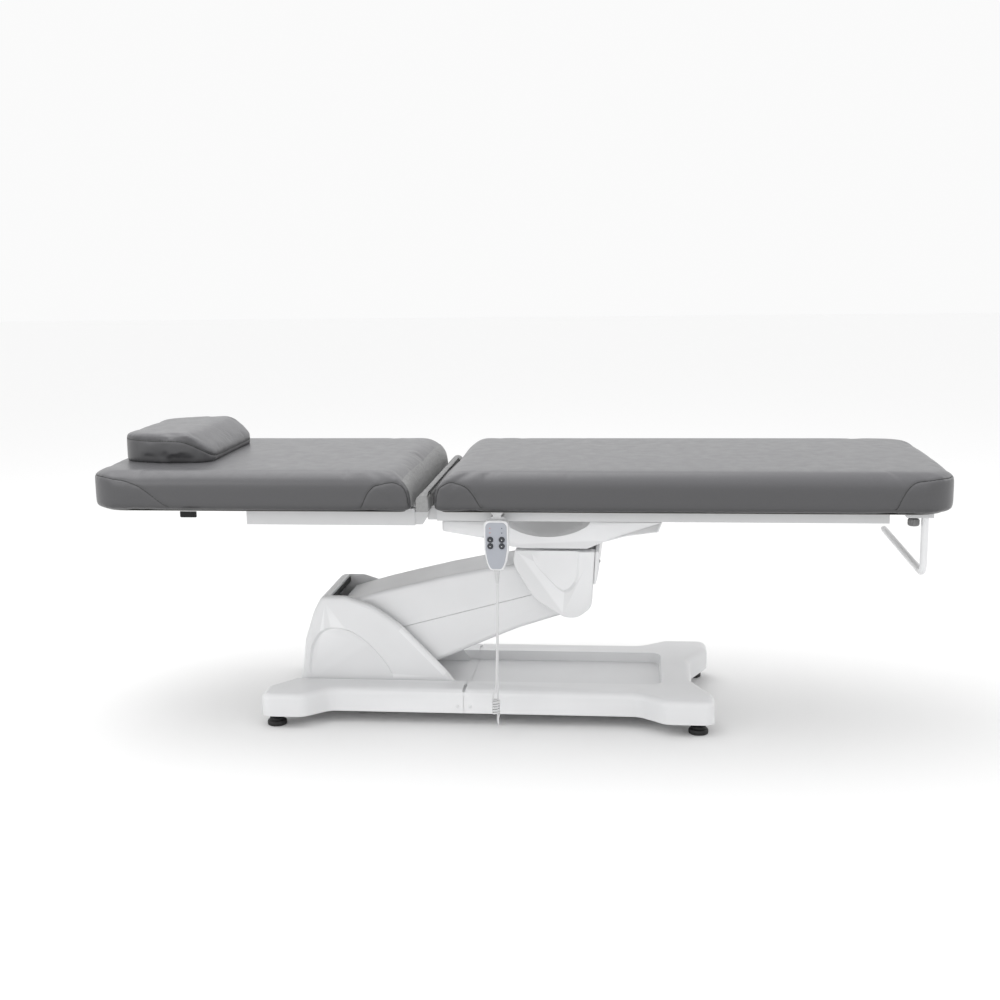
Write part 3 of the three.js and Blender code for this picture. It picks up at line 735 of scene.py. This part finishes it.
def build_pillow():
    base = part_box("neck_pillow")[0].z * 1000
    plan = rounded([(-697, -178, 40), (-697, 178, 40), (-818, 186, 60), (-926, 150, 90), (-926, -150, 90),
                    (-818, -186, 60)], 10)
    obj = slab("pillow_padding", plan, base, 680, "xy")
    profile = rounded([(-940, base, 0), (-930, 676, 26), (-752, 679, 46), (-692, 633, 12),
                       (-700, base, 10)], 12)
    carve(obj, slab("profile", profile, -300, 300), "INTERSECT")
    top_edge = [
        (-926, -60, 664), (-921, -130, 664), (-893, -165, 664), (-830, -182, 664), (-765, -180, 661),
        (-728, -172, 645), (-705, -150, 628), (-697, -90, 624), (-696, 0, 624),
    ]
    loop = [*top_edge, *[(x, -y, z) for x, y, z in reversed(top_edge[:-1])]]
    puff(obj, 4.5 * MM, 3 * MM)
    flatten_under(obj, base * MM)
    modify(obj, "SUBSURF", levels=1, render_levels=1)
    stitched(obj, "pillow", [[*loop, loop[0]]], "pillow", 2.2)
    finish_piece(obj, "pillow", "grey_vinyl", VINYL, "neck_pillow", angle=70, keep_flat=False)


build_upholstery()
build_pillow()


# ------------------------------------------------------------------ white mouldings
def base_outline(steps):
    half = [
        (-539, 120, 40), (-589, 185, 28), (-589, 250, 24), (-489, 250, 40), (-436, 200, 40),
        (285, 200, 46), (345, 250, 40), (455, 250, 24), (455, 185, 28), (408, 80, 40),
    ]
    return rounded([*half, *[(x, -y, r) for x, y, r in reversed(half)]], steps)


def build_base():
    whole = slab("base_moulding", base_outline(8), 30, 85, "xy")
    round_top(whole, 84, 16)
    trough = slab("trough", rounded([(-540, -124, 20), (332, -124, 26), (332, 124, 26), (-540, 124, 20)], 8),
                  62, 120, "xy")
    for vertex in trough.data.vertices:
        if vertex.co.z > 0.1:
            vertex.co.y *= 1.08
            vertex.co.x += 0.012 if vertex.co.x > 0 else 0
    carve(whole, trough)
    round_edges(whole, 3, 3, 30)
    hollow = slab("hollow", rounded([(-525, -185, 20), (395, -185, 20), (395, 185, 20), (-525, 185, 20)], 6),
                  10, 56, "xy")
    carve(whole, hollow)
    for side in (-1, 1):
        for low, high in ((-576, -500), (358, 442)):
            carve(whole, block("ear_hollow", [low, min(side * 180, side * 237), 10],
                               [high, max(side * 180, side * 237), 60]))
    for name, cut_from, cut_to in (("rear", -119.6, 600), ("front", -700, -120.4)):
        half = whole.copy()
        half.data = whole.data.copy()
        half.name = half.data.name = f"{name}_base_moulding"
        bpy.context.scene.collection.objects.link(half)
        carve(half, block("other_half", [cut_from, -400, 0], [cut_to, 400, 200]))
        for side in (-1, 1):
            carve(half, block("notch", [-123.5, min(side * 150, side * 196), 79.5],
                              [-116.5, max(side * 150, side * 196), 100]))
        finish_piece(half, "base", "white_shell", SHELL, f"{name}_base_cover", angle=32)
    bpy.data.objects.remove(whole)


def build_base_screws():
    """Cap over each screw that joins the two halves of the base."""
    for i, (x, side) in enumerate(((-135, -1), (-135, 1), (-105, -1), (-105, 1))):
        near, far = sorted((side * 198, side * 202.2))
        cap = rod(f"base_screw_cap_{i + 1}", (x, 47), 4.2, near, far, "Y", 32)
        round_edges(cap, 1.6, 4)
        finish_piece(cap, "base", "white_shell", SHELL)


def round_top(obj, level, radius, segments=6):
    """Bevel only the edges at a height."""
    select_only(obj)
    for edge in obj.data.edges:
        edge.select = all(obj.data.vertices[i].co.z > level * MM for i in edge.vertices)
    for vertex in obj.data.vertices:
        vertex.select = vertex.co.z > level * MM
    for face in obj.data.polygons:
        face.select = False
    bpy.ops.object.mode_set(mode="EDIT")
    bpy.ops.mesh.select_mode(type="EDGE")
    bpy.ops.mesh.bevel(offset=radius * MM, segments=segments, profile=0.5, affect="EDGES", clamp_overlap=True)
    bpy.ops.object.mode_set(mode="OBJECT")


def build_pedestal():
    foot = 62.3
    outline = rounded([
        (-527, foot, 0), (-519, 97, 60), (-510, 177, 90), (-488, 246, 90), (-467, 285, 22), (-409, 285, 40),
        (-345, 264, 90), (-279, 217, 90), (-221, 157, 90), (-167, 101, 60), (-138, foot, 0),
    ], 8)
    obj = slab("pedestal_moulding", outline, -122, 122)
    round_edges(obj, 12, 6, 50)
    carve(obj, slab("foot_trim", [(-600, 0), (-100, 0), (-100, foot), (-600, foot)], -200, 200))
    room = [(-521, 40), (-513, 97), (-504, 177), (-480, 246), (-447, 272), (-445, 330), (-90, 330), (-90, 40)]
    carve(obj, slab("room", room, -109, 109))
    arch = [(-499, 66), (-496, 120), (-486, 168), (-462, 198), (-428, 204), (-388, 192), (-345, 157),
            (-308, 108), (-296, 66)]
    arch = [(p.x, p.y) for p in smooth_line([Vector(p).to_3d() for p in arch], 6)]
    foot_level, arch_level, spread = 66, 204, 1.09
    floor_at_foot, floor_lean = 121.6, 7.6
    middle = Vector((-400, 120))
    for side in (-1, 1):
        cutter = slab("recess", arch, min(side * 118, side * 125), max(side * 118, side * 125))
        for vertex in cutter.data.vertices:
            if abs(vertex.co.y) > 0.12:
                for axis, centre in ((0, middle.x), (2, middle.y)):
                    vertex.co[axis] = centre * MM + (vertex.co[axis] - centre * MM) * spread
            else:
                slope = (vertex.co.z / MM - foot_level) / (arch_level - foot_level)
                vertex.co.y = side * (floor_at_foot - floor_lean * slope) * MM
        carve(obj, cutter)
    round_edges(obj, 1.5, 2, 32)
    finish_piece(obj, "base", "white_shell", SHELL, "pedestal_cover", angle=32)


def arm_outline():
    head = Vector((105, 297))
    nose = [(head.x + 60 * math.cos(a), head.y + 60 * math.sin(a))
            for a in (math.radians(90 - 6 * k) for k in range(32))]
    upper = [(-436, 240), (-425, 262), (-399, 271), (-330, 291), (-263, 308), (-175, 329), (-87, 347),
             (0, 360), (55, 361)]
    lower = [(3, 206), (-60, 180), (-117, 155), (-195, 121), (-250, 104), (-300, 108), (-345, 135),
             (-400, 180), (-430, 215)]
    return [*upper, *nose, *lower]


def cover_split(x):
    """Height of the line where the arm's upper and lower covers meet."""
    return 201 + 0.267 * (x + 292)


def build_arm():
    whole = slab("arm_moulding", arm_outline(), -92, 92)
    round_edges(whole, 13, 6, 60)
    centre = Vector((-150, 235))
    inner = slab("arm_room", arm_outline(), -86.5, 86.5)
    for vertex in inner.data.vertices:
        inward = (centre - Vector((vertex.co.x, vertex.co.z)) * 1000).normalized() * 5.5 * MM
        vertex.co.x += inward.x * 1.2
        vertex.co.z += inward.y * 1.2
    carve(whole, inner)
    carve(whole, slab("rear_mouth", [(-520, 60), (-250, 60), (-250, 200), (-330, 246), (-520, 246)], -86, 86))
    carve(whole, slab("head_mouth", [(57, 290), (42, 420), (300, 420), (300, 303), (105, 303)], -86, 86))
    rear, front = -700, 400
    for name, part, keep in (("upper", "arm_upper_cover", -1), ("lower", "arm_lower_cover", 1)):
        half = whole.copy()
        half.data = whole.data.copy()
        half.name = half.data.name = f"arm_{name}_moulding"
        bpy.context.scene.collection.objects.link(half)
        edge = 0.5 * -keep
        far = 900 * keep
        cutter = [(rear, cover_split(rear) + edge), (front, cover_split(front) + edge),
                  (front, cover_split(front) + far), (rear, cover_split(rear) + far)]
        carve(half, slab("other", cutter, -200, 200))
        round_edges(half, 0.8, 2, 60)
        finish_piece(half, "arm", "white_shell", SHELL, part, angle=32)
    bpy.data.objects.remove(whole)


def build_knuckle():
    outline = rounded([
        (-3, 403, 3), (-9, 372, 70), (40, 288, 80), (111, 243, 40), (142, 243, 40), (174, 268, 30),
        (182, 400, 3),
    ], 9)
    panel = smooth_line([Vector(p).to_3d() for p in (
        (140, 420), (140, 385), (138, 345), (129, 320), (112, 309), (93, 318), (72, 340), (44, 372),
        (24, 420))], 7)
    panel = [(p.x, p.y) for p in panel]
    inner_face, outer_face = 96.5, 130
    rim_x, rim_z, rim_spread = 84, 372, 1.22
    rear_x, run, floor_at_rear, floor_lean = 24, 116, 130.4, 5.4
    for name, side in (("near", -1), ("far", 1)):
        low, high = sorted((side * inner_face, side * outer_face))
        obj = slab(f"knuckle_{name}_moulding", outline, low, high)
        round_edges(obj, 11, 6, 50)
        cutter = slab("panel", panel, min(side * 125, side * 136), max(side * 125, side * 136))
        for vertex in cutter.data.vertices:
            x, z = vertex.co.x / MM, vertex.co.z / MM
            if abs(vertex.co.y) > 0.13:
                vertex.co.x = (rim_x + (x - rim_x) * rim_spread) * MM
                vertex.co.z = (rim_z + (z - rim_z) * rim_spread) * MM
            else:
                vertex.co.y = side * (floor_at_rear - floor_lean * (x - rear_x) / run) * MM
        carve(obj, cutter)
        round_edges(obj, 1.0, 2, 40)
        finish_piece(obj, "carriage", "white_shell", SHELL, f"knuckle_shell_{name}", angle=32)
    back = rounded([(182.6, 401, 2), (192, 401, 4), (192, 366, 40), (187, 336, 40), (179, 312, 2)], 6)
    cover = slab("knuckle_back_moulding", back, -127, 127)
    round_edges(cover, 2, 3, 50)
    finish_piece(cover, "carriage", "white_shell", SHELL, "knuckle_end_cover")
    for i, side in enumerate((-112, 112)):
        screw = rod(f"end_cover_screw_{i + 1}", (side, 375), 3.4, 190.4, 193.6, "X", 24)
        round_edges(screw, 0.9, 2)
        carve(screw, rod("socket", (side, 375), 1.6, 192.4, 196, "X", 6))
        finish_piece(screw, "carriage", "dark_steel", STEEL)


def build_shroud():
    """Flat wing under the seat that deepens into a round bowl over the knuckle."""
    outline = rounded([
        (-165, 480, 3), (-165, 456, 6), (-76, 439, 60), (-8, 415, 40), (20, 411, 20), (165, 411, 20),
        (200, 428, 60), (253, 445, 60), (326, 456, 6), (335, 480, 3),
    ], 8)
    obj = slab("saddle_moulding", outline, -175, 175)
    wing_level, bowl_depth, taper = 456, 45, 0.16
    for vertex in obj.data.vertices:
        deep = max(0, min(1, (wing_level * MM - vertex.co.z) / (bowl_depth * MM)))
        vertex.co.y *= 1 - taper * deep
    round_edges(obj, 7, 4, 45)
    for side in (-1, 1):
        bpy.ops.mesh.primitive_uv_sphere_add(segments=72, ring_count=36, radius=1,
                                             location=(0.078, side * 0.272, 0.52), scale=(0.142, 0.15, 0.118))
        carve(obj, place_in_mesh(new_piece("scoop")))
    room = [(-158, 520), (-154, 464), (-74, 446), (-2, 422), (160, 422), (250, 452), (320, 463), (328, 520)]
    carve(obj, slab("room", room, -120, 120))
    carve(obj, block("plate_slot", [55, -75, 400], [168, 75, 440]))
    carve(obj, block("rod_slot", [-190, -26, 460], [-130, 26, 500]))
    round_edges(obj, 1.2, 2, 40)
    finish_piece(obj, "carriage", "white_shell", SHELL, "saddle_shroud", angle=32)


build_base()
build_base_screws()
build_pedestal()
build_arm()
build_knuckle()
build_shroud()


# ------------------------------------------------------------------ handset
def handset_outline(x, inset):
    """Outline of the handset about its middle x, narrower towards the cord."""
    s = inset
    return rounded([
        (x - 15 + s, 394 + s, 8), (x + 15 - s, 394 + s, 8), (x + 22 - s, 412, 30), (x + 27 - s, 440, 40),
        (x + 27 - s, 505 - s, 11), (x - 27 + s, 505 - s, 11), (x - 27 + s, 440, 40), (x - 22 + s, 412, 30),
    ], 8)


def build_handset():
    low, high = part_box("handset_shell")
    x = (low.x + high.x) / 2 * 1000
    front, back = low.y * 1000, high.y * 1000
    shell = slab("handset_case", handset_outline(x, 0), front, back)
    round_edges(shell, 5, 4)
    buttons = [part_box(f"handset_button_{i}") for i in range(1, 5)]
    centres = [((a.x + b.x) / 2 * 1000, (a.z + b.z) / 2 * 1000) for a, b in buttons]
    for centre in centres:
        carve(shell, rod("well", centre, 6.7, front - 10, front + 4, "Y"))
    finish_piece(shell, "handset", "handset_white", HANDSET_WHITE, "handset_shell")
    face = slab("handset_front", handset_outline(x, 3.6), front - 2.2, front + 1.2)
    round_edges(face, 1.4, 3)
    for centre in centres:
        carve(face, rod("well", centre, 6.7, front - 10, front + 4, "Y"))
    round_edges(face, 0.3, 2, 60)
    finish_piece(face, "handset", "handset_panel", HANDSET_GREY, "handset_face")
    for i, centre in enumerate(centres, 1):
        key = rod(f"key_{i}", centre, 6.1, front - 5.4, front + 1.4, "Y", 40)
        round_edges(key, 1.8, 4)
        finish_piece(key, f"button_{i}", "handset_button", BUTTON, f"handset_button_{i}")
        mark = arrow(f"key_{i}_arrow", centre[0], centre[1], front - 5.75, 1.5, mirrored=i <= 2)
        finish_piece(mark, f"button_{i}", "handset_white", HANDSET_WHITE)
    columns = ((-13, MARK_RED), (13, MARK_BLUE))
    marks = [(column, level, paint) for level in (489, 479) for column, paint in columns]
    for i, (column, level, paint) in enumerate(marks):
        mark = arrow(f"panel_mark_{i + 1}", x + column, level, front - 2.45, 2.0, mirrored=i >= 2)
        finish_piece(mark, "handset", "handset_panel", paint)

    relief_low, ring_count, ring_step = 362.0, 9, 3.2
    rings = []
    for k in range(ring_count):
        level = relief_low + ring_step * k
        groove, ring = 2.7 + 0.4 * k, 3.3 + 0.42 * k
        rings += [(groove, level), (ring, level + 0.5), (ring, level + 1.9), (groove, level + 2.4)]
    profile = [(0, relief_low - 0.2), *rings, (7.2, 393.6), (0, 393.6)]
    relief = turned("handset_relief", profile, (x, -288), 32)
    finish_piece(relief, "handset", "cable_grey", CABLE, "strain_relief", angle=40)

    hanger = slab("handset_hook", rounded([
        (x - 17, 470, 4), (x + 17, 470, 4), (x + 17, 503, 8), (x + 9, 508, 6), (x + 9, 513, 6),
        (x + 16, 521, 3), (x - 16, 521, 3), (x - 9, 513, 6), (x - 9, 508, 6), (x - 17, 503, 8)], 6),
        back + 0.4, back + 4)
    arm = block("hook_arm", [x - 14, back + 3, 500], [x + 14, -250.4, 509])
    carve(hanger, arm, "UNION")
    round_edges(hanger, 0.9, 3)
    finish_piece(hanger, "carriage", "handset_white", HANDSET_WHITE, "handset_hanger")
    gland = copy_node("cord_gland", "cord_grommet")
    round_edges(gland, 0.8, 3, 40)
    finish_piece(gland, "carriage", "black_rubber", RUBBER, "cord_gland")


def arrow(name, x, z, y, size, mirrored):
    """Thin three-sided mark on the handset's front, turned over in height where mirrored."""
    bpy.ops.mesh.primitive_cylinder_add(vertices=3, radius=size * MM, depth=0.3 * MM,
                                        location=(x * MM, y * MM, z * MM), rotation=(math.pi / 2, 0, 0))
    obj = place_in_mesh(new_piece(name))
    if mirrored:
        for vertex in obj.data.vertices:
            vertex.co.z = 2 * z * MM - vertex.co.z
        edit(obj, lambda: bpy.ops.mesh.normals_make_consistent(inside=False))
    return obj


def turned(name, profile, centre, steps=48):
    """Turned piece: (radius, height) pairs from axis to axis, spun about a vertical axis."""
    bpy.ops.mesh.primitive_circle_add(vertices=len(profile), radius=1, fill_type="NOTHING")
    obj = new_piece(name)
    obj.location = (0, 0, 0)
    x, y = centre
    for vertex, (radius, level) in zip(obj.data.vertices, profile):
        vertex.co = Vector((x + radius, y, level)) * MM
    last = len(profile) - 1
    select_only(obj)
    for edge in obj.data.edges:
        edge.select = False
    closing = [e.index for e in obj.data.edges if set(e.vertices) == {0, last}]
    bpy.ops.object.mode_set(mode="EDIT")
    bpy.ops.mesh.select_all(action="DESELECT")
    bpy.ops.mesh.select_mode(type="EDGE")
    bpy.ops.object.mode_set(mode="OBJECT")
    for i in closing:
        obj.data.edges[i].select = True
    bpy.ops.object.mode_set(mode="EDIT")
    bpy.ops.mesh.delete(type="EDGE")
    bpy.ops.mesh.select_mode(type="VERT")
    bpy.ops.mesh.select_all(action="SELECT")
    bpy.ops.mesh.spin(steps=steps, angle=2 * math.pi, center=(x * MM, y * MM, 0), axis=(0, 0, 1))
    bpy.ops.mesh.select_all(action="SELECT")
    bpy.ops.mesh.remove_doubles(threshold=0.00001)
    bpy.ops.mesh.normals_make_consistent(inside=False)
    bpy.ops.object.mode_set(mode="OBJECT")
    return obj


# ------------------------------------------------------------------ small parts
def build_feet():
    for end in ("rear", "front"):
        for side in ("near", "far"):
            part = f"levelling_foot_{end}_{side}"
            low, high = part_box(part)
            centre = ((low.x + high.x) * 500, (low.y + high.y) * 500)
            profile = [(0, 0), (20.5, 0), (22.2, 1.2), (22.5, 3), (22.5, 8), (21.4, 10.5), (18, 12.4),
                       (17, 13.6), (17, 17), (16, 18.4), (12, 19), (5.4, 19), (5.4, 51.5), (0, 51.5)]
            foot = turned(f"foot_{end}_{side}", profile, centre, 48)
            finish_piece(foot, f"foot_{end}_{side}", "black_rubber", RUBBER, part, angle=30)


def build_roll_bar():
    x, y, z, top, end, bend = 894, -250, 385, 521.5, 240, 26
    corner = [Vector((x, y + bend * (1 - math.cos(a)), z + bend * (1 - math.sin(a))))
              for a in (math.pi / 2 * k / 10 for k in range(11))]
    cap = [Vector((x, end - 7 + k, z)) for k in (0, 2, 4)]
    line = [Vector((x, y, top)), Vector((x, y, 460)), *corner, Vector((x, 0, z)), *cap]
    bar = tube("roll_tube", [p * MM for p in line], 8 * MM, 32)
    tip = rod("tip", (x, z), 8, end - 4, end + 1, "Y", 32)
    round_edges(tip, 3.4, 5)
    join(bar, tip)
    finish_piece(bar, "paper_bar", "white_bar", BAR_PAINT, "roll_bar", angle=40)

    low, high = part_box("clamp_knob")
    cx, cy = (low.x + high.x) * 500, (low.y + high.y) * 500
    profile = [(0, 491), (9.5, 491), (11.6, 492.4), (12.6, 495), (12.6, 503), (11.4, 506), (8, 507.2),
               (4.6, 507.4), (4.2, 509.6), (0, 509.6)]
    grip = turned("knob_grip", profile, (cx, cy), 64)
    flutes, flute_centre = 16, 13.6
    for k in range(flutes):
        turn = 2 * math.pi * k / flutes
        place = (cx + flute_centre * math.cos(turn), cy + flute_centre * math.sin(turn))
        carve(grip, rod("flute", place, 1.7, 489, 506.5, "Z", 12))
    round_edges(grip, 0.35, 2, 50)
    finish_piece(grip, "knob", "grey_knob", KNOB, "clamp_knob", angle=30)


def build_frame_parts():
    """Frame, drive and hidden parts: softened copies of their frame nodes."""
    slots = {part["node"]: part["material_slot"] for part in frame["record"]["subparts"]}
    widths = {"grey_frame": 1.6, "motor_plastic": 1.4, "polished_rod": 0.5}
    for part, obj in frame["nodes"].items():
        if obj.hide_render:
            continue
        slot = slots[part]
        piece = copy_node(part, f"{part}_finish")
        round_edges(piece, widths.get(slot, 1.0), 2, 45)
        finish_piece(piece, body_of_node(part), slot, SLOTS[slot], part, angle=30)


build_handset()
build_feet()
build_roll_bar()
build_frame_parts()
